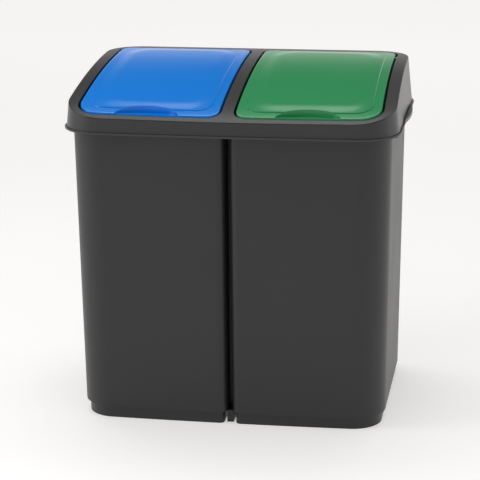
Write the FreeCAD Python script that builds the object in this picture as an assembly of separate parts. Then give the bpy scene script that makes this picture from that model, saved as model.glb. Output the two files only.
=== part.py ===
"""Double recycling bin: a twin-cell housing, a lift-off lid frame with two rear-hinged
flaps, and an inner bucket with a wire bail in each cell.

Frame: origin at the centre of the footprint, on the floor. +Z up, +X to the viewer's
right, and the front of the bin faces -Y. All sizes are in millimetres.
"""
import FreeCAD, Part
import math
import os

Vec = FreeCAD.Vector

# ------------------------------------------------------------------ driving dimensions
# Housing: two cells side by side, one moulding
body_width = 440.0          # across both cells at the rim
body_depth = 312.0          # front to back at the rim
body_height = 427.0         # floor to the housing's top edge
body_taper = 5.8            # how much each side wall leans in towards the floor
body_wall = 2.6
body_floor = 4.0
cell_corner = 47.0          # outer corner radius of a cell, in plan
groove_width = 6.6          # gap between the two cells
groove_corner = 12.0        # corner radius beside the groove
foot_height = 17.5
foot_inset = 5.0
foot_web_setback = 7.0      # the foot's web behind the foot's front, in the groove
groove_depth = 38.0         # front and back, to the wall that joins the cells
foot_recess = 1.5           # hollow under each cell, inside the ring that stands on the floor
foot_ring = 14.0            # width of that ring
saddle_height = 14.0        # bridge between the cells at the top
rim_flange = 5.0            # outward flange round the housing's top edge
rim_flange_height = 3.0
lug_length = 11.0           # catch lugs under the skirt's front and rear corners
lug_height = 7.0
lug_reach = 5.5
lug_spacing = 176.0         # front lug to rear lug
front_bow = 4.6             # how far the middle of the front stands ahead of its ends

# Lid frame
skirt_drop = 14.0           # the skirt's lower edge hangs this far below the housing's top
skirt_overhang = 9.6       # skirt wall outside the housing's rim, at the lower edge
skirt_draft = 5.5           # lean of the skirt, degrees
frame_wall = 2.5
lip_reach = 2.5             # bead round the skirt's lower edge
lip_height = 2.6
tab_reach = 4.0             # finger tab on each side of the bead
tab_length = 118.0
tab_height = 5.0
tab_setback = 20.0          # middle of the tab behind the bin's middle
crown_height = 53.0         # top of the arch above the housing's top edge
crown_setback = 132.0       # the arch's highest point behind the middle
crown_radius = 1023.0       # long back stretch of the arch
brow_radius = 358.0         # tighter front stretch
brow_setback = -115.0       # where the two stretches meet
edge_round = 1.4            # rounding of the crisp edge round the frame's top
ledge_height = 2.5          # ledge that sits on the housing's rim
rail_width = 3.0            # rib under the divider, on the saddle

# Mouths and flaps
front_strip = 9.0           # frame surface ahead of a mouth
side_strip = 16.5           # frame surface beside a mouth
rear_strip = 21.0
divider_width = 16.0        # frame surface between the mouths
mouth_outer_corner = 32.0
mouth_inner_corner = 20.0
mouth_rear_corner = 18.0
collar_depth = 14.0         # wall that hangs from each mouth's edge
flap_gap = 3.4              # gap between a flap and its mouth
flap_wall = 2.4
flap_proud = 0.6            # flap border above the frame's surface
flap_border = 12.0          # flat border round the raised panel
panel_rise = 1.0            # crisp step from the border up to the panel
panel_dome = 2.4            # further rise of the panel's middle, from side to side
panel_corner = 20.0         # smallest corner radius of the panel, in plan
flap_rim = 9.0              # wall that hangs from a flap's edge
scoop_width = 88.0
scoop_depth = 19.0          # front to back
scoop_slope = -3.0          # floor of the finger scoop, degrees, down towards the back
hinge_inset = 16.0          # hinge axis ahead of the mouth's rear edge
hinge_drop = 6.0            # hinge axis below the frame's surface
pin_radius = 2.0
knuckle_setback = 2.2       # knuckle inside the flap's side edge
pin_engagement = 8.0        # length of a pin inside its flap's knuckle
pin_clearance = 0.05        # radial, between a pin and the knuckle
knuckle_radius = 4.2
ear_boss = 2.5              # boss on the collar that a pin is pressed into
ear_radius = 5.0

# Inner buckets and their bails
bucket_clearance = 1.5      # rim to the cell's wall
bucket_flange = 9.0
bucket_wall = 2.0
bucket_taper = 9.0
bucket_headroom = 23.0      # bucket rim below the housing's top edge
bucket_rim_height = 2.5
bucket_rim_skirt = 7.0      # down-turned edge of the bucket's rim
bail_wire = 4.0             # wire diameter
bail_reach = 118.0          # bail's cross bar from its pivots
bail_corner = 26.0
bail_hook = 3.0             # bend radius of the hooked ends
bail_inboard = 8.0          # bail's arm inside the bucket rim's edge
bail_rest_gap = 0.3         # wire above the rim it lies on
bail_clearance = 0.05       # radial, between the wire and its ear
bail_end_play = 0.7         # wire's end inside the ear's outer face
ear_thickness = 3.0
ear_width = 13.0
ear_margin = 0.5            # ear inside the bucket rim's edge
ear_cover = 3.0             # ear material above the wire
grip_length = 92.0
grip_diameter = 13.0

# ------------------------------------------------------------------ derived places
skirt_bottom = body_height - skirt_drop
crown_top = body_height + crown_height
skirt_lean = math.tan(math.radians(skirt_draft))
bow_radius = ((body_width / 2) ** 2 + front_bow ** 2) / (2 * front_bow)
body_front = -body_depth / 2
body_rear = body_depth / 2
brow_angle = math.asin((crown_setback - brow_setback) / crown_radius)
crown_centre = (crown_setback, crown_top - crown_radius)
brow_centre = (
    brow_setback + brow_radius * math.sin(brow_angle),
    crown_centre[1] + (crown_radius - brow_radius) * math.cos(brow_angle),
)
clear_above = crown_top + 60.0      # a height above everything, for cutting tools
clear_below = skirt_bottom - 113.0  # a height below the frame, for its cutting tools
bucket_top = body_height - bucket_headroom
bail_height = bucket_top + bail_rest_gap + bail_wire / 2


def unit(x, y):
    """Unit vector in plan."""
    return Vec(x, y, 0).normalize()


class Plan:
    """A rounded plan outline whose front edge is bowed about the bin's centre line."""

    def __init__(self, left, right, front, rear, corners, bow=bow_radius):
        self.left, self.right, self.front, self.rear = left, right, front, rear
        self.corners = corners      # front left, front right, rear right, rear left
        self.bow = bow

    def inset(self, distance):
        """The same outline, smaller by a distance all round, or larger if negative."""
        corners = [max(radius - distance, 0.8) for radius in self.corners]
        return Plan(
            self.left + distance, self.right - distance,
            self.front + distance, self.rear - distance,
            corners, self.bow - distance,
        )

    def front_at(self, x):
        """Depth of the bowed front edge at a distance from the centre line."""
        return self.front + self.bow - math.sqrt(self.bow ** 2 - x ** 2)

    def front_corner(self, side, radius):
        """Ends and middle of a front corner's arc: on the bow, middle, on the side."""
        edge = self.right if side > 0 else self.left
        bow_centre = self.front + self.bow
        centre_x = edge - side * radius
        reach = math.sqrt((self.bow - radius) ** 2 - centre_x ** 2)
        centre = Vec(centre_x, bow_centre - reach, 0)
        outward = unit(centre_x, -reach)
        middle = unit(outward.x + side, outward.y)
        side_end = centre + Vec(side * radius, 0, 0)
        return centre + outward * radius, centre + middle * radius, side_end

    def rear_corner(self, side, radius):
        """Ends and middle of a rear corner's arc: on the side, middle, on the back."""
        edge = self.right if side > 0 else self.left
        centre = Vec(edge - side * radius, self.rear - radius, 0)
        middle = unit(side, 1)
        side_end = centre + Vec(side * radius, 0, 0)
        return side_end, centre + middle * radius, centre + Vec(0, radius, 0)

    def wire(self, height):
        """The closed outline at a height."""
        front_left, front_right, rear_right, rear_left = self.corners
        a0, a1, a2 = self.front_corner(1, front_right)
        b0, b1, b2 = self.rear_corner(1, rear_right)
        c2, c1, c0 = self.rear_corner(-1, rear_left)
        d2, d1, d0 = self.front_corner(-1, front_left)
        middle_x = (a0.x + d2.x) / 2
        bow_middle = Vec(middle_x, self.front_at(middle_x), 0)
        edges = [
            Part.Arc(d2, bow_middle, a0).toShape(),
            Part.Arc(a0, a1, a2).toShape(),
            Part.LineSegment(a2, b0).toShape(),
            Part.Arc(b0, b1, b2).toShape(),
            Part.LineSegment(b2, c0).toShape(),
            Part.Arc(c0, c1, c2).toShape(),
            Part.LineSegment(c2, d0).toShape(),
            Part.Arc(d0, d1, d2).toShape(),
        ]
        outline = Part.Wire(edges)
        outline.translate(Vec(0, 0, height))
        return outline

    def prism(self, low, high):
        """The outline as a straight solid between two heights."""
        return Part.Face(self.wire(low)).extrude(Vec(0, 0, high - low))


def loft(low_plan, low, high_plan, high):
    """A solid between two outlines, with straight rulings."""
    return Part.makeLoft([low_plan.wire(low), high_plan.wire(high)], True, True)


def box(x0, x1, y0, y1, z0, z1):
    """A block from its limits, given in either order along X and Y."""
    x0, x1 = min(x0, x1), max(x0, x1)
    y0, y1 = min(y0, y1), max(y0, y1)
    return Part.makeBox(x1 - x0, y1 - y0, z1 - z0, Vec(x0, y0, z0))


def slab(half_width, y0, y1, z0, z1):
    """A block centred on the bin's middle."""
    return box(-half_width, half_width, y0, y1, z0, z1)


def rod(start, end, radius):
    """A round bar between two points."""
    return Part.makeCylinder(radius, (end - start).Length, start, end - start)


def fuse(shapes):
    """One solid from several that overlap."""
    return shapes[0].multiFuse(shapes[1:]).removeSplitter()


def mirror(shape):
    """The same shape on the other side of the bin."""
    return shape.mirror(Vec(0, 0, 0), Vec(1, 0, 0))


# ------------------------------------------------------------------ shared outlines
def body_lean(height):
    """How far the housing's walls have leaned in at a height."""
    return body_taper * (body_height - height) / body_height


def whole_plan(height):
    """Outline of both cells together at a height."""
    lean = body_lean(height)
    half = body_width / 2 - lean
    return Plan(-half, half, body_front + lean, body_rear - lean, [cell_corner] * 4)


def cell_plan(height):
    """Outline of the right-hand cell at a height."""
    lean = body_lean(height)
    corners = [groove_corner, cell_corner, cell_corner, groove_corner]
    return Plan(
        groove_width / 2, body_width / 2 - lean,
        body_front + lean, body_rear - lean, corners,
    )


def skirt_plan(height):
    """Outer outline of the frame's skirt wall at a height."""
    rise = (height - skirt_bottom) * skirt_lean
    return whole_plan(body_height).inset(rise - skirt_overhang)


def mouth_plan(height):
    """Outline of the right-hand mouth at a height."""
    outer = skirt_plan(height).right - side_strip
    ridge = skirt_plan(surface_height(skirt_plan(skirt_bottom).front))
    corners = [mouth_inner_corner, mouth_outer_corner, mouth_rear_corner, mouth_rear_corner]
    return Plan(
        divider_width / 2, outer, ridge.front + front_strip,
        ridge.rear - rear_strip, corners, ridge.bow - front_strip,
    )


def surface_height(y, drop=0.0):
    """Height of the arch at a depth, or of the curve a distance below it."""
    centre, radius = (brow_centre, brow_radius)
    if y > brow_setback:
        centre, radius = (crown_centre, crown_radius)
    return centre[1] + math.sqrt((radius - drop) ** 2 - (y - centre[0]) ** 2)


def under_arch(drop=0.0, low=clear_below):
    """Everything below the curve that runs a distance under the arch."""
    reach = body_depth / 2 + 40.0
    blend = Vec(
        0,
        brow_centre[0] - (brow_radius - drop) * math.sin(brow_angle),
        brow_centre[1] + (brow_radius - drop) * math.cos(brow_angle),
    )

    def on_arch(y, centre, radius):
        return Vec(0, y, centre[1] + math.sqrt((radius - drop) ** 2 - (y - centre[0]) ** 2))

    front = on_arch(-reach, brow_centre, brow_radius)
    front_middle = on_arch((blend.y - reach) / 2, brow_centre, brow_radius)
    rear_middle = on_arch((blend.y + reach) / 2, crown_centre, crown_radius)
    rear = on_arch(reach, crown_centre, crown_radius)
    corners = [Vec(0, reach, low), Vec(0, -reach, low)]
    outline = Part.Wire([
        Part.Arc(front, front_middle, blend).toShape(),
        Part.Arc(blend, rear_middle, rear).toShape(),
        Part.LineSegment(rear, corners[0]).toShape(),
        Part.LineSegment(corners[0], corners[1]).toShape(),
        Part.LineSegment(corners[1], front).toShape(),
    ])
    outline.translate(Vec(-body_width, 0, 0))
    return Part.Face(outline).extrude(Vec(2 * body_width, 0, 0))


def arch_band(top_drop, bottom_drop):
    """The layer between two curves that run under the arch."""
    return under_arch(top_drop).cut(under_arch(bottom_drop, clear_below - 20.0))


# ------------------------------------------------------------------ housing
def make_cell():
    """Right-hand cell: an open tub on an inset foot."""
    step = foot_height + body_floor
    tub = loft(cell_plan(foot_height), foot_height, cell_plan(body_height), body_height)
    foot = loft(cell_plan(0).inset(foot_inset), 0,
                cell_plan(foot_height).inset(foot_inset), foot_height)
    upper = loft(cell_plan(step).inset(body_wall), step,
                 cell_plan(body_height).inset(body_wall), body_height + 1)
    lower = loft(cell_plan(0).inset(foot_inset + body_wall), body_floor,
                 cell_plan(step).inset(foot_inset + body_wall), step + 1)
    recess = cell_plan(0).inset(foot_inset + foot_ring).prism(-1, foot_recess)
    return tub.fuse(foot).cut(upper).cut(lower).cut(recess)


def make_lugs():
    """Catch lugs on both sides, under the skirt."""
    lugs = []
    top = skirt_bottom - 1.5
    wall = body_width / 2 - body_lean(top)
    for side in (-1, 1):
        for end in (-1, 1):
            middle = end * lug_spacing / 2
            lugs.append(box(side * (wall - body_wall / 2), side * (wall + lug_reach),
                            middle - lug_length / 2, middle + lug_length / 2,
                            top - lug_height, top))
    return lugs


def make_housing():
    """Twin-cell housing in one moulding."""
    cell = make_cell()
    half_web = groove_width / 2 + body_wall / 2
    foot = cell_plan(0).inset(foot_inset)
    joins = [box(-half_web, half_web, body_front + groove_corner, body_rear - groove_corner,
                 body_height - saddle_height, body_height)]
    for end in (-1, 1):
        groove_end = end * (body_depth / 2 - groove_depth)
        foot_end = end * (-foot.front - foot_web_setback)
        joins.append(slab(half_web, groove_end, groove_end - end * body_wall, 0, body_height))
        joins.append(slab(half_web, foot_end, groove_end, 0, foot_height))
    rim = whole_plan(body_height)
    flange = rim.inset(-rim_flange).prism(body_height - rim_flange_height, body_height)
    flange = flange.cut(rim.inset(body_wall / 2).prism(body_height - 20, body_height + 1))
    return fuse([cell, mirror(cell), flange] + joins + make_lugs())


# ------------------------------------------------------------------ lid frame
def mouth_cutter(grow):
    """Right-hand mouth as a tall solid, larger all round by a distance."""
    low = skirt_bottom - 30
    return loft(mouth_plan(low).inset(-grow), low,
                mouth_plan(clear_above).inset(-grow), clear_above)


def make_tabs():
    """Lens-shaped finger tabs on the bead, one on each side."""
    edge = skirt_plan(skirt_bottom).right + lip_reach - 0.8
    reach = tab_reach + 0.8
    tabs = []
    for side in (-1, 1):
        ends = [Vec(side * edge, tab_setback + end * tab_length / 2, 0) for end in (-1, 1)]
        middle = Vec(side * (edge + reach), tab_setback, 0)
        lens = Part.Wire([
            Part.Arc(ends[0], middle, ends[1]).toShape(),
            Part.LineSegment(ends[1], ends[0]).toShape(),
        ])
        lens.translate(Vec(0, 0, skirt_bottom))
        tabs.append(Part.Face(lens).extrude(Vec(0, 0, tab_height)))
    return tabs


def hinge_place():
    """Depth and height of the flaps' hinge axis."""
    y = mouth_plan(crown_top).rear - hinge_inset
    return y, surface_height(y) - hinge_drop


def hinge_pins():
    """Start and end of the right-hand flap's two pins, from the ear inwards."""
    y, z = hinge_place()
    mouth = mouth_plan(z)
    outside = frame_wall + ear_boss
    inside = flap_gap + knuckle_setback + pin_engagement
    return [
        (Vec(mouth.left - outside, y, z), Vec(mouth.left + inside, y, z)),
        (Vec(mouth.right + outside, y, z), Vec(mouth.right - inside, y, z)),
    ]


def round_top_edge(solid):
    """Round the crisp edge between the arch and the skirt."""
    ring = []
    for edge in solid.Edges:
        middle = edge.valueAt((edge.FirstParameter + edge.LastParameter) / 2)
        on_arch = abs(middle.z - surface_height(middle.y)) < 0.2
        on_seam = abs(middle.x) < 1 and abs(middle.y - brow_setback) < 1
        upright = abs(edge.tangentAt(edge.FirstParameter).z) > 0.98
        if on_arch and not on_seam and not upright:
            ring.append(edge)
    return solid.makeFillet(edge_round, ring)


def make_ears():
    """Bosses on the collars that hold the hinge pins, right-hand mouth."""
    ears = []
    for start, end in hinge_pins():
        inwards = (end - start).normalize()
        ears.append(rod(start, start + inwards * (ear_boss + frame_wall / 2), ear_radius))
    return ears


def make_lid_frame():
    """Arched frame with a skirt, a ledge on the housing's rim and two collared mouths."""
    above = clear_above
    block = loft(skirt_plan(skirt_bottom), skirt_bottom, skirt_plan(above), above)
    block = round_top_edge(block.common(under_arch()))
    low = skirt_bottom - 10
    cavity = loft(skirt_plan(low).inset(frame_wall), low,
                  skirt_plan(above).inset(frame_wall), above)
    shell = block.cut(cavity.common(under_arch(frame_wall)))

    lip_plan = skirt_plan(skirt_bottom)
    lip = lip_plan.inset(-lip_reach).prism(skirt_bottom, skirt_bottom + lip_height)
    lip = lip.cut(lip_plan.inset(frame_wall / 2).prism(low, skirt_bottom + 20))

    ledge_top = body_height + ledge_height
    ledge = skirt_plan(ledge_top).inset(frame_wall / 2).prism(body_height, ledge_top)
    inside = whole_plan(body_height).inset(body_wall + 1.5)
    ledge = ledge.cut(inside.prism(low, ledge_top + 5))

    collar = mouth_cutter(frame_wall).common(arch_band(frame_wall / 2, collar_depth))
    collar = collar.cut(whole_plan(body_height).inset(-skirt_overhang).prism(low, body_height))
    rail = box(-rail_width / 2, rail_width / 2, inside.front - 1, inside.rear + 1,
               body_height, above).common(under_arch(frame_wall / 2))
    ears = make_ears()
    pieces = [shell, lip, ledge, rail, collar, mirror(collar)]
    pieces += make_tabs() + ears + [mirror(ear) for ear in ears]
    frame = fuse(pieces)
    mouth = mouth_cutter(0)
    cutters = [mouth, mirror(mouth)]
    for start, end in hinge_pins():
        inwards = (end - start).normalize()
        hole = rod(start - inwards, end, pin_radius)
        hole.rotate(start, inwards, 90)     # the bore's seam runs along its side
        cutters += [hole, mirror(hole)]
    for cutter in cutters:
        frame = frame.cut(cutter)
    return frame


# ------------------------------------------------------------------ flaps and hinge pins
def flap_block(shrink):
    """Right-hand flap's outline as a tall solid, smaller all round by a distance."""
    low = skirt_bottom - 30
    return loft(mouth_plan(low).inset(flap_gap + shrink), low,
                mouth_plan(clear_above).inset(flap_gap + shrink), clear_above)


def scoop_block(centre, grow):
    """The finger scoop's half-ellipse in plan, as a tall solid."""
    ellipse = Part.Ellipse(Vec(0, 0, 0), scoop_width / 2 + grow, scoop_depth + grow)
    face = Part.Face(Part.Wire([ellipse.toShape()]))
    block = face.extrude(Vec(0, 0, clear_above - skirt_bottom))
    block.translate(Vec(centre.x, centre.y, skirt_bottom))
    return block


def scoop_floor(centre, drop):
    """Everything above the scoop's sloping floor, lowered by a distance."""
    reach = scoop_width + 60
    solid = Part.makeBox(2 * reach, 2 * reach, reach, Vec(-reach, -reach, 0))
    solid.rotate(Vec(0, 0, 0), Vec(1, 0, 0), scoop_slope)
    solid.translate(Vec(centre.x, centre.y, centre.z - drop))
    return solid


def panel_block(shrink):
    """The raised panel's outline as a tall solid, smaller all round by a distance."""
    def outline(height):
        plan = mouth_plan(height).inset(flap_gap + flap_border + shrink)
        plan.corners = [max(radius, panel_corner - shrink) for radius in plan.corners]
        return plan

    low = skirt_bottom - 30
    return loft(outline(low), low, outline(clear_above), clear_above)


def crowned_layer(rise, depth):
    """Layer that follows the arch, raised at its sides and domed across its middle."""
    plan = mouth_plan(skirt_bottom).inset(flap_gap + flap_border)
    reach = body_depth / 2 + 10.0
    crown_front = math.degrees(brow_angle)
    crown_rear = math.degrees(math.asin((crown_centre[0] - reach) / crown_radius))
    brow_front = math.degrees(math.asin((brow_centre[0] + reach) / brow_radius))
    stretches = [(crown_centre, crown_radius, crown_rear, crown_front),
                 (brow_centre, brow_radius, crown_front, brow_front)]
    pieces = []
    for (y, z), radius, start, end in stretches:
        side = z + radius + rise
        corners = [Vec(plan.right, y, side), Vec(plan.right, y, side - depth),
                   Vec(plan.left, y, side - depth), Vec(plan.left, y, side)]
        top = Vec((plan.left + plan.right) / 2, y, side + panel_dome)
        edges = [Part.Arc(corners[3], top, corners[0]).toShape()]
        edges += [Part.LineSegment(a, b).toShape() for a, b in zip(corners, corners[1:])]
        face = Part.Face(Part.Wire(edges))
        face.rotate(Vec(0, y, z), Vec(1, 0, 0), start)
        pieces.append(face.revolve(Vec(0, y, z), Vec(1, 0, 0), end - start))
    return pieces[0].fuse(pieces[1])


def make_flap():
    """Right-hand flap: border, raised panel, hanging rim, finger scoop and knuckles."""
    block = flap_block(0)
    border = block.common(arch_band(-flap_proud, flap_wall - flap_proud))
    rim = block.cut(flap_block(flap_wall)).common(arch_band(0, flap_rim))
    outline = mouth_plan(skirt_bottom).inset(flap_gap)
    middle = (outline.left + outline.right) / 2
    front = outline.front_at(middle)
    centre = Vec(middle, front, surface_height(front, -flap_proud))
    hollow = scoop_block(centre, 0).common(scoop_floor(centre, 0))
    tray = scoop_block(centre, flap_wall).common(scoop_floor(centre, flap_wall))
    tray = tray.common(block).common(under_arch(-flap_proud))
    knuckles = []
    for start, end in hinge_pins():
        inwards = (end - start).normalize()
        outer = end - inwards * pin_engagement
        knuckles.append(rod(outer, end, knuckle_radius))
        post = box(outer.x, end.x, end.y - knuckle_radius, end.y + knuckle_radius,
                   end.z, clear_above)
        knuckles.append(post.common(under_arch(flap_wall / 2)))
    panel_top = flap_proud + panel_rise
    panel = panel_block(0).common(crowned_layer(panel_top, panel_top + flap_wall / 2))
    under_panel = panel_block(flap_wall).common(
        crowned_layer(panel_top - flap_wall, 2 * flap_wall))
    skin = fuse([border, panel]).cut(under_panel)
    flap = fuse([skin, rim, tray] + knuckles).cut(hollow)
    for start, end in hinge_pins():
        flap = flap.cut(rod(start, end + (end - start).normalize(), pin_radius + pin_clearance))
    return flap


# ------------------------------------------------------------------ buckets and bails
def bucket_plan(height):
    """Outer outline of the right-hand bucket's wall at a height."""
    rim = cell_plan(bucket_top).inset(body_wall + bucket_clearance)
    share = (bucket_top - height) / (bucket_top - body_floor)
    return rim.inset(bucket_flange + bucket_taper * share)


def bucket_ears():
    """Place of the bail's pivots: ear outer faces and the side they face."""
    rim = cell_plan(bucket_top).inset(body_wall + bucket_clearance)
    return [(rim.left + ear_margin, -1), (rim.right - ear_margin, 1)]


def make_bucket():
    """Right-hand inner bucket with a flanged rim and an ear on each side for the bail."""
    rim = cell_plan(bucket_top).inset(body_wall + bucket_clearance)
    rim_under = bucket_top - bucket_rim_height
    tub = loft(bucket_plan(body_floor), body_floor, bucket_plan(rim_under), rim_under)
    flange = rim.prism(rim_under, bucket_top)
    edge = rim.prism(bucket_top - bucket_rim_skirt, bucket_top)
    edge = edge.cut(rim.inset(bucket_wall).prism(body_floor, clear_above))
    inside = loft(bucket_plan(body_floor).inset(bucket_wall), body_floor + bucket_wall,
                  bucket_plan(bucket_top).inset(bucket_wall), bucket_top + 1)
    bucket = fuse([tub, flange, edge]).cut(inside)
    ears = []
    for outer, side in bucket_ears():
        ears.append(box(outer, outer - side * ear_thickness, -ear_width / 2, ear_width / 2,
                        rim_under, bail_height + bail_wire / 2 + ear_cover))
    bucket = fuse([bucket] + ears)
    for outer, side in bucket_ears():
        outside = Vec(outer + side, 0, bail_height)
        inside = Vec(outer - side * (ear_thickness + 1), 0, bail_height)
        bucket = bucket.cut(rod(outside, inside, bail_wire / 2 + bail_clearance))
    return bucket


def bail_arms():
    """Places of the bail's two arms across the bucket."""
    rim = cell_plan(bucket_top).inset(body_wall + bucket_clearance)
    return rim.left + bail_inboard, rim.right - bail_inboard


def arc_corner(before, corner, after, radius):
    """Tangent arc that rounds a right-angled corner: its start, middle and end."""
    back = (before - corner).normalize()
    ahead = (after - corner).normalize()
    start = corner + back * radius
    end = corner + ahead * radius
    centre = start + ahead * radius
    middle = centre + (corner - centre).normalize() * radius
    return start, middle, end


def make_bail():
    """Right-hand bucket's wire bail, lying forward on the rim."""
    arm_left, arm_right = bail_arms()
    (ear_left, _), (ear_right, _) = bucket_ears()
    route = [
        Vec(ear_left + bail_end_play, 0, bail_height),
        Vec(arm_left, 0, bail_height),
        Vec(arm_left, -bail_reach, bail_height),
        Vec(arm_right, -bail_reach, bail_height),
        Vec(arm_right, 0, bail_height),
        Vec(ear_right - bail_end_play, 0, bail_height),
    ]
    radii = [bail_hook, bail_corner, bail_corner, bail_hook]
    edges = []
    at = route[0]
    for index, radius in enumerate(radii, start=1):
        start, middle, end = arc_corner(route[index - 1], route[index], route[index + 1], radius)
        edges.append(Part.LineSegment(at, start).toShape())
        edges.append(Part.Arc(start, middle, end).toShape())
        at = end
    edges.append(Part.LineSegment(at, route[-1]).toShape())
    path = Part.Wire(edges)
    section = Part.Wire([Part.Circle(route[0], Vec(1, 0, 0), bail_wire / 2).toShape()])
    return path.makePipeShell([section], True, False)


def make_grip():
    """Hand grip on the bail's cross bar."""
    arm_left, arm_right = bail_arms()
    middle = (arm_left + arm_right) / 2
    start = Vec(middle - grip_length / 2, -bail_reach, bail_height)
    end = Vec(middle + grip_length / 2, -bail_reach, bail_height)
    barrel = rod(start, end, grip_diameter / 2)
    rims = [edge for edge in barrel.Edges if isinstance(edge.Curve, Part.Circle)]
    barrel = barrel.makeFillet(grip_diameter / 6, rims)
    return barrel.cut(rod(start - Vec(1, 0, 0), end + Vec(1, 0, 0), bail_wire / 2))


# ------------------------------------------------------------------ output
def write(name, shape):
    """Write one sub-part, and say whether it is a single sound solid."""
    if shape.ShapeType != "Solid" and len(shape.Solids) == 1:
        shape = shape.Solids[0]
    shape.exportStep("parts/" + name + ".step")
    bounds = shape.optimalBoundingBox()
    print("%-18s solids %d valid %s volume %.1f cm3  x %.1f..%.1f y %.1f..%.1f z %.1f..%.1f" % (
        name, len(shape.Solids), shape.isValid(), shape.Volume / 1000.0,
        bounds.XMin, bounds.XMax, bounds.YMin, bounds.YMax, bounds.ZMin, bounds.ZMax))


def write_pair(name, shape):
    """Write a right-hand piece and its mirrored twin."""
    write(name + "_right", shape)
    write(name + "_left", mirror(shape))


def main():
    os.makedirs("parts", exist_ok=True)
    write("housing", make_housing())
    write("lid_frame", make_lid_frame())
    write_pair("flap", make_flap())
    for place, (start, end) in zip(("inner", "outer"), hinge_pins()):
        write_pair("hinge_pin_" + place, rod(start, end, pin_radius))
    write_pair("bucket", make_bucket())
    write_pair("bail", make_bail())
    write_pair("bail_grip", make_grip())


main()
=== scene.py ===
# %% [markdown]
# # A double recycling bin
# Two tapered cells in one charcoal moulding stand side by side on an inset foot. A lid frame with
# an arched top drops over their rims, and each of its two mouths holds a coloured flap that turns
# at the back. The CAD model is the fixed frame: each new piece is built where it says, in metres, and
# rides on one of its bodies.

# %% Load the CAD frame
import math

import bmesh
import bpy
from mathutils import Matrix, Vector


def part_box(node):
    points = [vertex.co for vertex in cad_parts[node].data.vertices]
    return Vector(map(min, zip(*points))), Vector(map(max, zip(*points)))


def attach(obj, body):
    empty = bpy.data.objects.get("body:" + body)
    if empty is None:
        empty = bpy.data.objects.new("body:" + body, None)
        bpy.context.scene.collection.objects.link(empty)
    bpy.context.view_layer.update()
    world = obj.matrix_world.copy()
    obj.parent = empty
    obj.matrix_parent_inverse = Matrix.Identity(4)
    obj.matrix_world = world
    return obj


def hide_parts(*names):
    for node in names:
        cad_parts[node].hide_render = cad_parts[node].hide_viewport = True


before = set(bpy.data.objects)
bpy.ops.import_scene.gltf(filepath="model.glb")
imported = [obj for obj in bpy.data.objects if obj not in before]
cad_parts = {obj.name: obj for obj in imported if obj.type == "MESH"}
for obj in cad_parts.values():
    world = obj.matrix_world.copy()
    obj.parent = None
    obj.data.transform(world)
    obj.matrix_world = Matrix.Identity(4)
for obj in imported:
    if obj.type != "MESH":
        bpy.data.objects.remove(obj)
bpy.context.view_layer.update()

MM = 0.001

# %% [markdown]
# ## Camera
# The photograph was taken with a long lens, a little to the right of the middle and about 15
# degrees above the floor. A camera is placed by the point that it looks at, its angles and its
# distance, because those are the numbers that a photographer would change.

# %% Camera
LOOK_AT = Vector((-7.5, 0.0, 226.9)) * MM
AZIMUTH, ELEVATION, ROLL = (math.radians(angle) for angle in (9.49, 15.47, -0.49))
DISTANCE = 2.7
FOCAL_PIXELS = 1868.3
IMAGE_PIXELS = 480.0


def place_camera():
    """A camera that looks at LOOK_AT, set by two angles, a roll and a distance."""
    back = Vector((math.sin(AZIMUTH) * math.cos(ELEVATION),
                   -math.cos(AZIMUTH) * math.cos(ELEVATION), math.sin(ELEVATION)))
    lens = bpy.data.cameras.new("photo_camera")
    lens.sensor_width = 36.0
    lens.lens = FOCAL_PIXELS / IMAGE_PIXELS * lens.sensor_width
    lens.clip_end = 50.0
    holder = bpy.data.objects.new("photo_camera", lens)
    bpy.context.scene.collection.objects.link(holder)
    holder.location = LOOK_AT + back * DISTANCE
    aim = (-back).to_track_quat("-Z", "Y").to_matrix()
    holder.rotation_euler = (aim @ Matrix.Rotation(ROLL, 3, "Z")).to_euler()
    bpy.context.scene.camera = holder
    return holder


camera = place_camera()
print("camera at", [round(c, 3) for c in camera.location], "lens", round(camera.data.lens, 1))

# %% [markdown]
# ## Node maths as plain arithmetic
# Materials get long when every Add and Multiply node is wired by hand. A small class wraps a
# socket, so that an expression such as `0.4 + 0.05 * noise` adds the Math nodes by itself. One
# method adds any other node, with its settings first and then its values and links.


# %% Sockets that can be written in arithmetic
class Socket:
    """An output socket; arithmetic on it adds Math nodes to its tree."""

    def __init__(self, shader, socket):
        self.shader, self.socket = shader, socket

    def _maths(self, operation, first, second):
        return self.shader.add("ShaderNodeMath", {"operation": operation}, [first, second])

    def __add__(self, other):
        return self._maths("ADD", self, other)

    def __radd__(self, other):
        return self._maths("ADD", other, self)

    def __sub__(self, other):
        return self._maths("SUBTRACT", self, other)

    def __rsub__(self, other):
        return self._maths("SUBTRACT", other, self)

    def __mul__(self, other):
        return self._maths("MULTIPLY", self, other)

    def __rmul__(self, other):
        return self._maths("MULTIPLY", other, self)

    def at_least(self, other):
        return self._maths("MAXIMUM", self, other)


class Shader:
    """A material's or a world's node tree, with one method that adds any node."""

    def __init__(self, owner):
        owner.use_nodes = True
        self.tree = owner.node_tree
        self.tree.nodes.clear()

    def add(self, kind, settings=None, inputs=None, output=0):
        """Add a node, set its settings, then fill its sockets with values or links."""
        node = self.tree.nodes.new(kind)
        for name, value in (settings or {}).items():
            setattr(node, name, value)
        pairs = enumerate(inputs) if isinstance(inputs, list) else (inputs or {}).items()
        for key, value in pairs:
            if isinstance(value, Socket):
                self.tree.links.new(value.socket, node.inputs[key])
            elif value is not None:
                node.inputs[key].default_value = value
        return Socket(self, node.outputs[output])

    def finish(self, surface, kind="ShaderNodeOutputMaterial"):
        """Wire the last shader to the output."""
        out = self.tree.nodes.new(kind)
        self.tree.links.new(surface.socket, out.inputs["Surface"])


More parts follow.
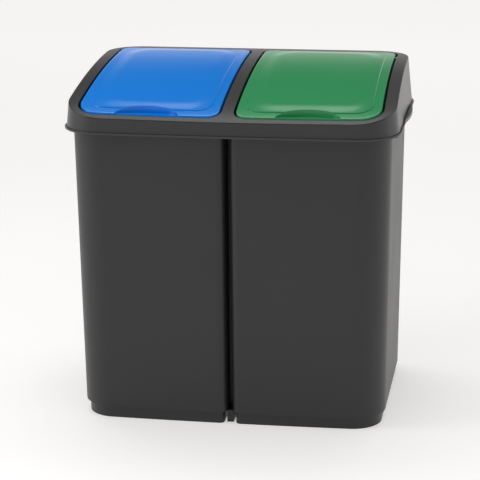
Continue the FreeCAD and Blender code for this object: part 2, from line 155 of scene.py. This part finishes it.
def backdrop_rays(shader):
    """1 for the rays that see the pale backdrop: camera, glossy and transmission rays."""
    outputs = shader.add("ShaderNodeLightPath").socket.node.outputs
    camera_ray, glossy_ray, transmission_ray = (
        Socket(shader, outputs[name])
        for name in ("Is Camera Ray", "Is Glossy Ray", "Is Transmission Ray"))
    return camera_ray.at_least(glossy_ray).at_least(transmission_ray)


print("socket arithmetic: +, -, * and at_least")

# %% [markdown]
# ## Room, floor and light
# The bin was photographed on white paper in a dark room: pale paper behind and below, a soft box
# overhead that draws the light band along each flap's front shoulder, a dim room behind the
# camera. An image of a studio could light it, but two smooth ramps by direction are enough for
# satin plastic and stay easy to change. Light Path keeps the pale paper for the camera and for
# reflections, so that the light on the bin itself stays plain.

# %% Room
PAPER = (0.94, 0.925, 0.915, 1)
ROOM_LIGHT = 0.5


def smooth_ramp(shader, value, start, end, low=0.0, high=1.0):
    """A value that runs softly from low to high while another goes from start to end."""
    return shader.add("ShaderNodeMapRange", {"interpolation_type": "SMOOTHSTEP"},
                      {"Value": value, "From Min": start, "From Max": end,
                       "To Min": low, "To Max": high})


def make_room():
    """Pale low behind the bin, dark above it and dim behind the camera."""
    world = bpy.data.worlds.new("studio_room")
    bpy.context.scene.world = world
    room = Shader(world)
    ray = room.add("ShaderNodeTexCoord", output=0)
    parts = room.add("ShaderNodeSeparateXYZ", inputs=[ray])
    node = parts.socket.node
    behind, up = Socket(room, node.outputs[1]), Socket(room, node.outputs[2])
    low = smooth_ramp(room, up, 0.1, 0.42, 1.0, 0.06)
    back = smooth_ramp(room, behind, -0.6, 0.2, 0.38, 1.0)
    seen = room.add("ShaderNodeBackground", inputs={"Color": PAPER, "Strength": low * back})
    lit = room.add("ShaderNodeBackground", inputs={"Color": (1, 1, 1, 1), "Strength": ROOM_LIGHT})
    mix = room.add("ShaderNodeMixShader", inputs=[backdrop_rays(room), lit, seen])
    room.finish(mix, "ShaderNodeOutputWorld")


make_room()
bpy.context.scene.view_settings.view_transform = "Standard"
print("room nodes:", len(bpy.context.scene.world.node_tree.nodes))


# %% Lamps
def soft_box(name, place, aim, width, depth, radiance):
    """A rectangular lamp aimed at a point; its watts follow from its radiance and area."""
    lamp = bpy.data.lights.new(name, "AREA")
    lamp.shape = "RECTANGLE"
    lamp.size, lamp.size_y = width, depth
    lamp.energy = math.pi * width * depth * radiance
    holder = bpy.data.objects.new(name, lamp)
    bpy.context.scene.collection.objects.link(holder)
    holder.location = place
    holder.rotation_euler = (Vector(aim) - Vector(place)).to_track_quat("-Z", "Y").to_euler()
    print(name, "watts", round(lamp.energy, 1))


soft_box("soft_box_overhead", (-0.2, 0.75, 2.3), (0, 0, 0.4), 2.0, 0.9, 2.6)
soft_box("soft_box_left", (-2.0, -0.8, 1.3), (0, 0, 0.3), 0.8, 1.4, 3.2)
soft_box("soft_box_right", (2.4, 0.5, 0.9), (0, 0, 0.3), 0.8, 1.2, 1.2)


# %% Floor
def start_fresh():
    """Object mode with nothing selected, so that an operator touches only the next piece."""
    if bpy.context.mode != "OBJECT":
        bpy.ops.object.mode_set(mode="OBJECT")
    bpy.ops.object.select_all(action="DESELECT")


FLOOR_PAPER = (0.74, 0.73, 0.72, 1)
GLOW_DIM, GLOW_BRIGHT = 0.395, 0.56     # where the lamps light the paper most, and least


def make_floor():
    """White paper. It keeps the bin's shadow, and glows a little for camera and reflections."""
    start_fresh()
    bpy.ops.mesh.primitive_plane_add(size=40, location=(0, 0, 0))
    paper = bpy.context.object
    paper.name = "paper_floor"
    material = bpy.data.materials.new("white_paper")
    sheet = Shader(material)
    matt = sheet.add("ShaderNodeBsdfDiffuse", inputs={"Color": FLOOR_PAPER})
    place = sheet.add("ShaderNodeTexCoord", output=3)
    parts = sheet.add("ShaderNodeSeparateXYZ", inputs=[place])
    deep = Socket(sheet, parts.socket.node.outputs[1])
    near = smooth_ramp(sheet, deep, -0.7, 0.6, 1.0, 0.0)
    far = smooth_ramp(sheet, deep, 0.9, 3.2)
    dim, bright = (tuple(c * f for c in PAPER[:3]) + (1,) for f in (GLOW_DIM, GLOW_BRIGHT))
    colour = sheet.add("ShaderNodeMix", {"data_type": "RGBA"},
                       {"Factor": near + far, 6: dim, 7: bright}, output=2)
    glow = sheet.add("ShaderNodeEmission", inputs={"Color": colour, "Strength": 1.0})
    both = sheet.add("ShaderNodeAddShader", inputs=[matt, glow])
    sheet.finish(sheet.add("ShaderNodeMixShader", inputs=[backdrop_rays(sheet), matt, both]))
    paper.data.materials.append(material)
    return paper


floor = make_floor()
print(floor.name, "is", floor.dimensions[0], "m wide")

# %% [markdown]
# ## Plastics and steel
# All the mouldings are polypropylene. Charcoal parts come from a spark-eroded tool, so they are
# satin with a very fine grain. The flaps come from a smoother tool and shine more. Each plastic has
# slow changes of tone and gloss where it flowed into the mould, and a fine bump for its grain. One
# function makes them all, because they differ only in colour, gloss and grain. The wire is steel,
# with drawing lines along it.


# %% Moulded plastic
def moulded_plastic(name, colour, roughness, grain, grain_size, mottle=0.06, coat=0.0):
    """Satin moulded plastic: slow tone and gloss changes, and a fine grain in the normal."""
    material = bpy.data.materials.new(name)
    shader = Shader(material)
    place = shader.add("ShaderNodeTexCoord", output=3)
    flow = shader.add("ShaderNodeTexNoise", {"noise_dimensions": "3D"},
                      {"Vector": place, "Scale": 9.0, "Detail": 3.0, "Roughness": 0.5})
    speck = shader.add("ShaderNodeTexNoise", {"noise_dimensions": "3D"},
                       {"Vector": place, "Scale": 1.0 / grain_size, "Detail": 2.0,
                        "Roughness": 0.6})
    darker = tuple(c * (1 - mottle) for c in colour) + (1,)
    lighter = tuple(min(c * (1 + mottle), 1.0) for c in colour) + (1,)
    tone = shader.add("ShaderNodeMix", {"data_type": "RGBA"},
                      {"Factor": flow, 6: darker, 7: lighter}, output=2)
    gloss = roughness - 0.05 + 0.1 * flow + 0.04 * (speck - 0.5)
    bump = shader.add("ShaderNodeBump", inputs={"Strength": grain, "Distance": 0.0002,
                                                 "Height": speck})
    surface = shader.add("ShaderNodeBsdfPrincipled",
                         inputs={"Base Color": tone, "Roughness": gloss, "Normal": bump,
                                 "IOR": 1.49, "Coat Weight": coat, "Coat Roughness": 0.12})
    shader.finish(surface)
    return material


housing_plastic = moulded_plastic("housing_plastic", (0.026, 0.0262, 0.027), 0.42, 0.35, 0.0011)
frame_plastic = moulded_plastic("frame_plastic", (0.048, 0.0482, 0.050), 0.32, 0.3, 0.0011)
blue_plastic = moulded_plastic("blue_plastic", (0.0005, 0.25, 0.88), 0.21, 0.12, 0.0016, 0.02)
green_plastic = moulded_plastic("green_plastic", (0.036, 0.34, 0.12), 0.21, 0.12, 0.0016, 0.02)
bucket_plastic = moulded_plastic("bucket_plastic", (0.055, 0.055, 0.057), 0.45, 0.35, 0.0011)
grip_plastic = moulded_plastic("grip_plastic", (0.02, 0.02, 0.021), 0.5, 0.4, 0.0014)
print("plastics:", [m.name for m in (housing_plastic, frame_plastic, blue_plastic, green_plastic,
                                     bucket_plastic, grip_plastic)])


# %% Drawn steel
def drawn_steel(name, colour, roughness):
    """Steel wire: drawing lines run along X, with slow changes in its dull zinc."""
    material = bpy.data.materials.new(name)
    shader = Shader(material)
    place = shader.add("ShaderNodeTexCoord", output=3)
    along = shader.add("ShaderNodeMapping", inputs={"Vector": place, "Scale": (6.0, 400.0, 400.0)})
    lines = shader.add("ShaderNodeTexNoise", inputs={"Vector": along, "Scale": 4.0, "Detail": 3.0})
    bloom = shader.add("ShaderNodeTexNoise", inputs={"Vector": place, "Scale": 60.0, "Detail": 2.0})
    dull = tuple(c * 0.8 for c in colour) + (1,)
    tone = shader.add("ShaderNodeMix", {"data_type": "RGBA"},
                      {"Factor": bloom, 6: dull, 7: tuple(colour) + (1,)}, output=2)
    bump = shader.add("ShaderNodeBump", inputs={"Strength": 0.2, "Distance": 0.0001,
                                                 "Height": lines})
    surface = shader.add("ShaderNodeBsdfPrincipled",
                         inputs={"Base Color": tone, "Roughness": roughness + 0.15 * lines,
                                 "Normal": bump, "Metallic": 1.0})
    shader.finish(surface)
    return material


pin_steel = drawn_steel("pin_steel", (0.62, 0.62, 0.61), 0.22)
bail_steel = drawn_steel("bail_steel", (0.60, 0.60, 0.58), 0.3)
print("steels:", pin_steel.name, bail_steel.name)

# %% [markdown]
# ## Helpers for modelling by hand
# Every new piece starts from a primitive and is shaped in edit mode. These helpers do what a
# modeller does with the mouse: add a block between limits, pick faces or edges by their place, and
# apply an operator to the selection. Lengths are typed in millimetres, as on the drawing.


# %% Selecting in edit mode
NEAR = 0.01     # mm; closer than this counts as the same place


def choose(*pieces):
    """Select only these pieces and make the last one active."""
    start_fresh()
    for piece in pieces:
        piece.select_set(True)
    bpy.context.view_layer.objects.active = pieces[-1]


def open_mesh(piece):
    """Make a piece active and enter edit mode."""
    choose(piece)
    bpy.ops.object.mode_set(mode="EDIT")


def close_mesh():
    """Back to object mode."""
    bpy.ops.object.mode_set(mode="OBJECT")


def pick(piece, kind, test):
    """In edit mode, select the faces or edges whose middle (mm) passes a test."""
    bpy.ops.mesh.select_mode(type=kind)
    bpy.ops.mesh.select_all(action="DESELECT")
    shape = bmesh.from_edit_mesh(piece.data)
    for element in (shape.faces if kind == "FACE" else shape.edges):
        middle = sum((v.co for v in element.verts), Vector()) / len(element.verts) / MM
        if test(middle, element):
            element.select_set(True)
    shape.select_flush_mode()
    bmesh.update_edit_mesh(piece.data)


def is_outline(face):
    """True for a face that fills a rounded outline or a circle, and so has many corners."""
    return len(face.verts) > 20


print("an outline has over 20 corners; places within", NEAR, "mm count as one")


# %% Blocks, slices and modifiers
def add_block(name, low, high):
    """A block between two corners, given in millimetres."""
    start_fresh()
    size = [(b - a) * MM for a, b in zip(low, high)]
    middle = [(a + b) / 2 * MM for a, b in zip(low, high)]
    bpy.ops.mesh.primitive_cube_add(size=1, location=middle, scale=size)
    block = bpy.context.object
    block.name = name
    bpy.ops.object.transform_apply(location=True, rotation=False, scale=True)
    return block


def round_upright_edges(piece, corners, segments):
    """Bevel the upright edge nearest each (x, y, radius), all in millimetres."""
    open_mesh(piece)
    for x, y, radius in corners:
        pick(piece, "EDGE", lambda m, e: abs(m.x - x) < NEAR and abs(m.y - y) < NEAR)
        bpy.ops.mesh.bevel(offset=radius * MM, segments=segments, affect="EDGES")
    close_mesh()


def slice_mesh(piece, axis, places):
    """Bisect the whole mesh at several places (mm) along an axis, so that it can bend there."""
    normal = Vector((0, 0, 0))
    normal[axis] = 1
    open_mesh(piece)
    for place in places:
        bpy.ops.mesh.select_all(action="SELECT")
        bpy.ops.mesh.bisect(plane_co=normal * place * MM, plane_no=normal, use_fill=False)
    close_mesh()


def bend(piece, shape):
    """Move every vertex (x, y, z in mm) to where a function puts it."""
    for vertex in piece.data.vertices:
        vertex.co = Vector(shape(*(vertex.co / MM))) * MM


def apply_modifier(piece, kind, **settings):
    """Add a modifier with its settings and apply it."""
    choose(piece)
    modifier = piece.modifiers.new(kind.lower(), kind)
    for name, value in settings.items():
        setattr(modifier, name, value)
    bpy.ops.object.modifier_apply(modifier=modifier.name)


def boolean(piece, tool, operation):
    """Join or cut with another closed mesh, which is then removed."""
    apply_modifier(piece, "BOOLEAN", object=tool, operation=operation, solver="EXACT")
    bpy.data.objects.remove(tool)


def tidy_mesh(piece, angle=32):
    """Merge doubles, point faces outwards and shade smooth up to an angle."""
    open_mesh(piece)
    bpy.ops.mesh.select_all(action="SELECT")
    bpy.ops.mesh.remove_doubles(threshold=NEAR * MM)
    bpy.ops.mesh.normals_make_consistent(inside=False)
    close_mesh()
    bpy.ops.object.shade_smooth_by_angle(angle=math.radians(angle))
    print(piece.name, "faces", len(piece.data.polygons))


# %% [markdown]
# ## The arch
# From the side the frame's top is a long shallow arc that turns into a tighter one over the front.
# The flaps lie in that arch, so one function gives its height at any depth.

# %% Arch over the mouths
CROWN_TOP, CROWN_BACK, CROWN_RADIUS = 480.0, 132.0, 1023.0
BROW_START, BROW_RADIUS = -115.0, 358.0
SKIRT_BOTTOM, SKIRT_LEAN = 413.0, math.tan(math.radians(5.5))
BOW_RADIUS = 5263.0
crown_low = CROWN_TOP - CROWN_RADIUS
brow_turn = math.asin((CROWN_BACK - BROW_START) / CROWN_RADIUS)
brow_y = BROW_START + BROW_RADIUS * math.sin(brow_turn)
brow_z = crown_low + (CROWN_RADIUS - BROW_RADIUS) * math.cos(brow_turn)


def arch(y):
    """Height of the frame's top at a depth, in millimetres."""
    if y > BROW_START:
        return crown_low + math.sqrt(CROWN_RADIUS ** 2 - (y - CROWN_BACK) ** 2)
    return brow_z + math.sqrt(BROW_RADIUS ** 2 - (y - brow_y) ** 2)


def soft_step(x):
    """0 below 0, 1 above 1, and an S-curve between."""
    x = min(max(x, 0.0), 1.0)
    return x * x * (3 - 2 * x)


print("arch at front, middle, rear:", [round(arch(y), 1) for y in (-151, 0, 139)])

# %% [markdown]
# ## Flaps
# Each flap is one thin moulding: a flat border, a crisp step of about a millimetre up to the panel,
# a soft shoulder inside the step, a slightly domed middle, a wall that hangs from the edge, and a
# finger scoop at the front. It is modelled flat, because insets and bridges are simple on a flat
# plate, then sliced and bent over the arch. Half the work is saved by making the green one and
# mirroring it.

# %% Flap sizes (mm)
FLAP_LEFT, FLAP_RIGHT, FLAP_FRONT, FLAP_REAR = 11.4, 209.7, -151.25, 139.3
FLAP_CORNERS = (16.6, 28.6, 14.6, 14.6)     # front inner, front outer, rear outer, rear inner
FLAP_PROUD, FLAP_WALL, FLAP_RIM, FLAP_BORDER = 0.6, 2.4, 9.0, 12.0
PANEL_CORNERS = (20.0, 24.0, 16.0, 16.0)
PANEL_STEP, PANEL_SHOULDER, PANEL_DOME = 0.9, 1.5, 0.95
SHOULDER_WIDTH, SHOULDER_CORNER = 21.0, 40.0
TOP_ROUND, STEP_WIDTH = 1.1, 1.0
BOW_FROM, BOW_BLEND = -40.0, 90.0           # the bow fades in towards the front, from here
CENTRE_X, HALF_X = (FLAP_LEFT + FLAP_RIGHT) / 2, (FLAP_RIGHT - FLAP_LEFT) / 2
CENTRE_Y, HALF_Y = (FLAP_FRONT + FLAP_REAR) / 2, (FLAP_REAR - FLAP_FRONT) / 2
FLAP_MIDDLE = CENTRE_X - 1.0                # the outer side leans in by about 2 mm at the front
print("flap is", round(2 * HALF_X, 1), "by", round(2 * HALF_Y, 1), "mm before it is bent")


# %% Plan and shape of a flap
def plate(name, inset, low, high, corners, segments=10):
    """A block with the flap's plan, smaller all round, with its four corners rounded."""
    left, right = FLAP_LEFT + inset, FLAP_RIGHT - inset
    front, rear = FLAP_FRONT + inset, FLAP_REAR - inset
    block = add_block(name, (left, front, low), (right, rear, high))
    places = [(left, front), (right, front), (right, rear), (left, rear)]
    round_upright_edges(block, [(x, y, r) for (x, y), r in zip(places, corners)], segments)
    return block


def inside_panel(x, y):
    """Distance inside the panel's outline (mm), with generous corners."""
    dx = abs(x - CENTRE_X) - (HALF_X - FLAP_BORDER - SHOULDER_CORNER)
    dy = abs(y - CENTRE_Y) - (HALF_Y - FLAP_BORDER - SHOULDER_CORNER)
    outside = math.hypot(max(dx, 0), max(dy, 0)) + min(max(dx, dy), 0)
    return SHOULDER_CORNER - outside


def flap_shape(x, y, z):
    """Bend the flat flap: bowed front, arched top, leaning outer side, soft shoulder."""
    front_share = soft_step((BOW_FROM - y) / BOW_BLEND)
    bowed = y + front_share * x * x / (2 * BOW_RADIUS)
    height = arch(bowed) + FLAP_PROUD + z
    if z > NEAR or abs(z + FLAP_WALL) < NEAR:
        side = (x - CENTRE_X) / HALF_X
        height += PANEL_SHOULDER * soft_step(inside_panel(x, y) / SHOULDER_WIDTH)
        height += PANEL_DOME * (1 - side * side)
    lean = SKIRT_LEAN * (height - SKIRT_BOTTOM)
    return x - lean * (x - FLAP_LEFT) / (FLAP_RIGHT - FLAP_LEFT), bowed, height


middle_top = flap_shape(CENTRE_X, CENTRE_Y, PANEL_STEP)
print("middle of the flap's top, mm:", [round(c, 1) for c in middle_top])


# %% Flap skin
def slices(start, step, count, first=1):
    """Evenly spaced places in mm."""
    return [start + step * i for i in range(first, first + count)]


def make_flap_skin():
    """A plate, hollowed from below, whose top is bridged to the outline of the raised panel."""
    skin = plate("flap_skin", 0, -FLAP_RIM, 0, FLAP_CORNERS)
    open_mesh(skin)
    pick(skin, "EDGE", lambda m, e: all(abs(v.co.z) < NEAR * MM for v in e.verts))
    bpy.ops.mesh.bevel(offset=TOP_ROUND * MM, segments=3, affect="EDGES")
    pick(skin, "FACE", lambda m, f: f.normal.z < -0.999 and is_outline(f))
    bpy.ops.mesh.inset(thickness=FLAP_WALL * MM, depth=0)
    bpy.ops.mesh.extrude_region_move(
        TRANSFORM_OT_translate={"value": (0, 0, (FLAP_RIM - FLAP_WALL) * MM)})
    pick(skin, "FACE", lambda m, f: f.normal.z > 0.999 and is_outline(f))
    bpy.ops.mesh.delete(type="ONLY_FACE")
    close_mesh()
    panel = plate("flap_panel", FLAP_BORDER, -5, 0, PANEL_CORNERS)
    open_mesh(panel)
    pick(panel, "FACE", lambda m, f: f.normal.z < 0.5)
    bpy.ops.mesh.delete(type="FACE")
    close_mesh()
    choose(panel, skin)
    bpy.ops.object.join()
    open_mesh(skin)
    pick(skin, "EDGE", lambda m, e: len(e.link_faces) == 1)
    bpy.ops.mesh.bridge_edge_loops()
    pick(skin, "FACE", lambda m, f: is_outline(f) and m.z > -NEAR)
    bpy.ops.mesh.inset(thickness=STEP_WIDTH * MM, depth=PANEL_STEP * MM)
    close_mesh()
    slice_mesh(skin, 0, slices(FLAP_LEFT, 3.5, 10) + slices(50, 12, 11, first=0)
               + slices(FLAP_RIGHT, -3.5, 10))
    slice_mesh(skin, 1, slices(FLAP_FRONT, 3.0, 14) + slices(-100, 10, 20, first=0)
               + slices(FLAP_REAR, -4.0, 9))
    bend(skin, flap_shape)
    return skin


skin = make_flap_skin()
tidy_mesh(skin, 40)

# %% [markdown]
# ### Finger scoop
# The scoop is a half-ellipse bitten out of the flap's front edge, with a floor that dips slightly
# towards the back. It could be pushed in with proportional editing, but a moulded scoop has a crisp
# edge. So a tray of the wall's thickness is joined under the skin, and then a half-ellipse takes
# out the hollow.

# %% Scoop
SCOOP_WIDTH, SCOOP_DEPTH, SCOOP_SLOPE = 88.0, 19.0, math.tan(math.radians(-3.0))
scoop_front = FLAP_FRONT + FLAP_MIDDLE ** 2 / (2 * BOW_RADIUS)
scoop_height = arch(scoop_front) + FLAP_PROUD - 0.35    # floor, just under the front edge
TRAY_SUNK = 0.9         # how far the tray stays inside the skin, so that the two meshes merge
CUT_REACH, CUT_RISE = 8.0, 20.0


def half_ellipse(name, grow, reach, low, high, steps=72):
    """A prism on the scoop's half-ellipse; low and high give its ends' heights at a depth."""
    start_fresh()
    bpy.ops.mesh.primitive_cylinder_add(vertices=steps, radius=1, depth=2, location=(0, 0, 0))
    block = bpy.context.object
    block.name = name
    wide, deep = SCOOP_WIDTH / 2 + grow, SCOOP_DEPTH + grow

    def place(x, y, z):
        px = FLAP_MIDDLE + x * MM * wide
        py = scoop_front + (y * MM * deep if y > 0.5 else -reach)
        bowed = py + (px ** 2 - FLAP_MIDDLE ** 2) / (2 * BOW_RADIUS)
        return px, bowed, (high if z > 0 else low)(py)

    bend(block, place)
    return block


def scoop_floor(y):
    """Height of the scoop's floor at a depth."""
    return scoop_height + (y - scoop_front) * SCOOP_SLOPE


def cut_scoop(flap):
    """Join the tray, then cut the hollow."""
    tray = half_ellipse("scoop_tray", FLAP_WALL, -TRAY_SUNK,
                        lambda y: scoop_floor(y) - FLAP_WALL,
                        lambda y: arch(max(y, scoop_front)) + FLAP_PROUD - TRAY_SUNK)
    boolean(flap, tray, "UNION")
    hollow = half_ellipse("scoop_hollow", 0, CUT_REACH, scoop_floor,
                          lambda y: arch(y) + CUT_RISE)
    boolean(flap, hollow, "DIFFERENCE")


cut_scoop(skin)
print("flap with scoop, faces", len(skin.data.polygons))

# %% [markdown]
# ### Hinge knuckles
# Two short barrels under the flap's rear corners take the steel pins. Each is a cylinder with
# bevelled ends and a post up to the skin. They are joined first and bored last, so that the bore
# stays open through everything that was joined.

# %% Knuckles
HINGE_Y, HINGE_Z = 126.669, 473.986
KNUCKLE_RADIUS, KNUCKLE_ROUND, BORE_RADIUS, BORE_PAST = 4.2, 0.5, 2.08, 2.0
KNUCKLES = ((13.6, 21.6), (193.6, 201.6))   # both ends of each along X
POST_INSET, POST_HALF, POST_RISE = 0.6, 3.4, 5.2


def barrel(name, start, end, radius, steps=32):
    """A round bar along X between two places, on the hinge axis."""
    start_fresh()
    bpy.ops.mesh.primitive_cylinder_add(
        vertices=steps, radius=radius * MM, depth=(end - start) * MM,
        location=((start + end) / 2 * MM, HINGE_Y * MM, HINGE_Z * MM),
        rotation=(0, math.pi / 2, 0))
    bar = bpy.context.object
    bar.name = name
    bpy.ops.object.transform_apply(location=True, rotation=True, scale=True)
    return bar


def add_knuckles(flap):
    """Join a barrel and its post at each end, then bore both."""
    for start, end in KNUCKLES:
        bar = barrel("knuckle", start, end, KNUCKLE_RADIUS)
        open_mesh(bar)
        pick(bar, "FACE", lambda m, f: is_outline(f))
        bpy.ops.mesh.bevel(offset=KNUCKLE_ROUND * MM, segments=2, affect="EDGES")
        close_mesh()
        post = add_block("post", (start + POST_INSET, HINGE_Y - POST_HALF, HINGE_Z),
                         (end - POST_INSET, HINGE_Y + POST_HALF, HINGE_Z + POST_RISE))
        boolean(bar, post, "UNION")
        boolean(flap, bar, "UNION")
        bore = barrel("bore", start - BORE_PAST, end + BORE_PAST, BORE_RADIUS, 24)
        boolean(flap, bore, "DIFFERENCE")


add_knuckles(skin)
tidy_mesh(skin, 28)

# %% [markdown]
# ### The pair
# The left flap is the right one's mirror image in blue. It gets a mesh of its own, because a shared
# mesh can't be mirrored, and its normals are recalculated, because mirroring turns them inwards.


# %% Both flaps
def mirrored(piece, name):
    """A copy of a piece on the other side of the bin, with its own mesh."""
    choose(piece)
    bpy.ops.object.duplicate()
    twin = bpy.context.object
    twin.name = name
    bpy.ops.transform.resize(value=(-1, 1, 1), center_override=(0, 0, 0))
    bpy.ops.object.transform_apply(location=True, rotation=True, scale=True)
    open_mesh(twin)
    bpy.ops.mesh.select_all(action="SELECT")
    bpy.ops.mesh.normals_make_consistent(inside=False)
    close_mesh()
    return twin


green_flap = skin
green_flap.name = "green_flap"
blue_flap = mirrored(green_flap, "blue_flap")
for flap, node, finish, slot in ((green_flap, "flap_right", green_plastic, "green_plastic"),
                                 (blue_flap, "flap_left", blue_plastic, "blue_plastic")):
    flap.data.materials.clear()
    flap.data.materials.append(finish)
    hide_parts(node)
    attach(flap, node)
    low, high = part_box(node)
    corners = [limit(v.co[i] for v in flap.data.vertices) for limit in (min, max) for i in range(3)]
    print(flap.name, "CAD", [round(c / MM, 1) for c in (*low, *high)],
          "mesh", [round(c / MM, 1) for c in corners])

# %% [markdown]
# ## CAD pieces that stay
# The housing, the lid frame, the buckets, their bails and grips and the hinge pins already have
# their true shape in the CAD model, so they keep their meshes and only get their finish.

# %% Finish the CAD pieces
CAD_FINISHES = {
    "housing": housing_plastic, "lid_frame": frame_plastic,
    "hinge_pin_inner_left": pin_steel, "hinge_pin_inner_right": pin_steel,
    "hinge_pin_outer_left": pin_steel, "hinge_pin_outer_right": pin_steel,
    "bucket_left": bucket_plastic, "bucket_right": bucket_plastic,
    "bail_left": bail_steel, "bail_right": bail_steel,
    "bail_grip_left": grip_plastic, "bail_grip_right": grip_plastic,
}
for node, finish in CAD_FINISHES.items():
    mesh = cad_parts[node].data
    mesh.materials.clear()
    mesh.materials.append(finish)
print("finished", len(CAD_FINISHES), "CAD pieces")
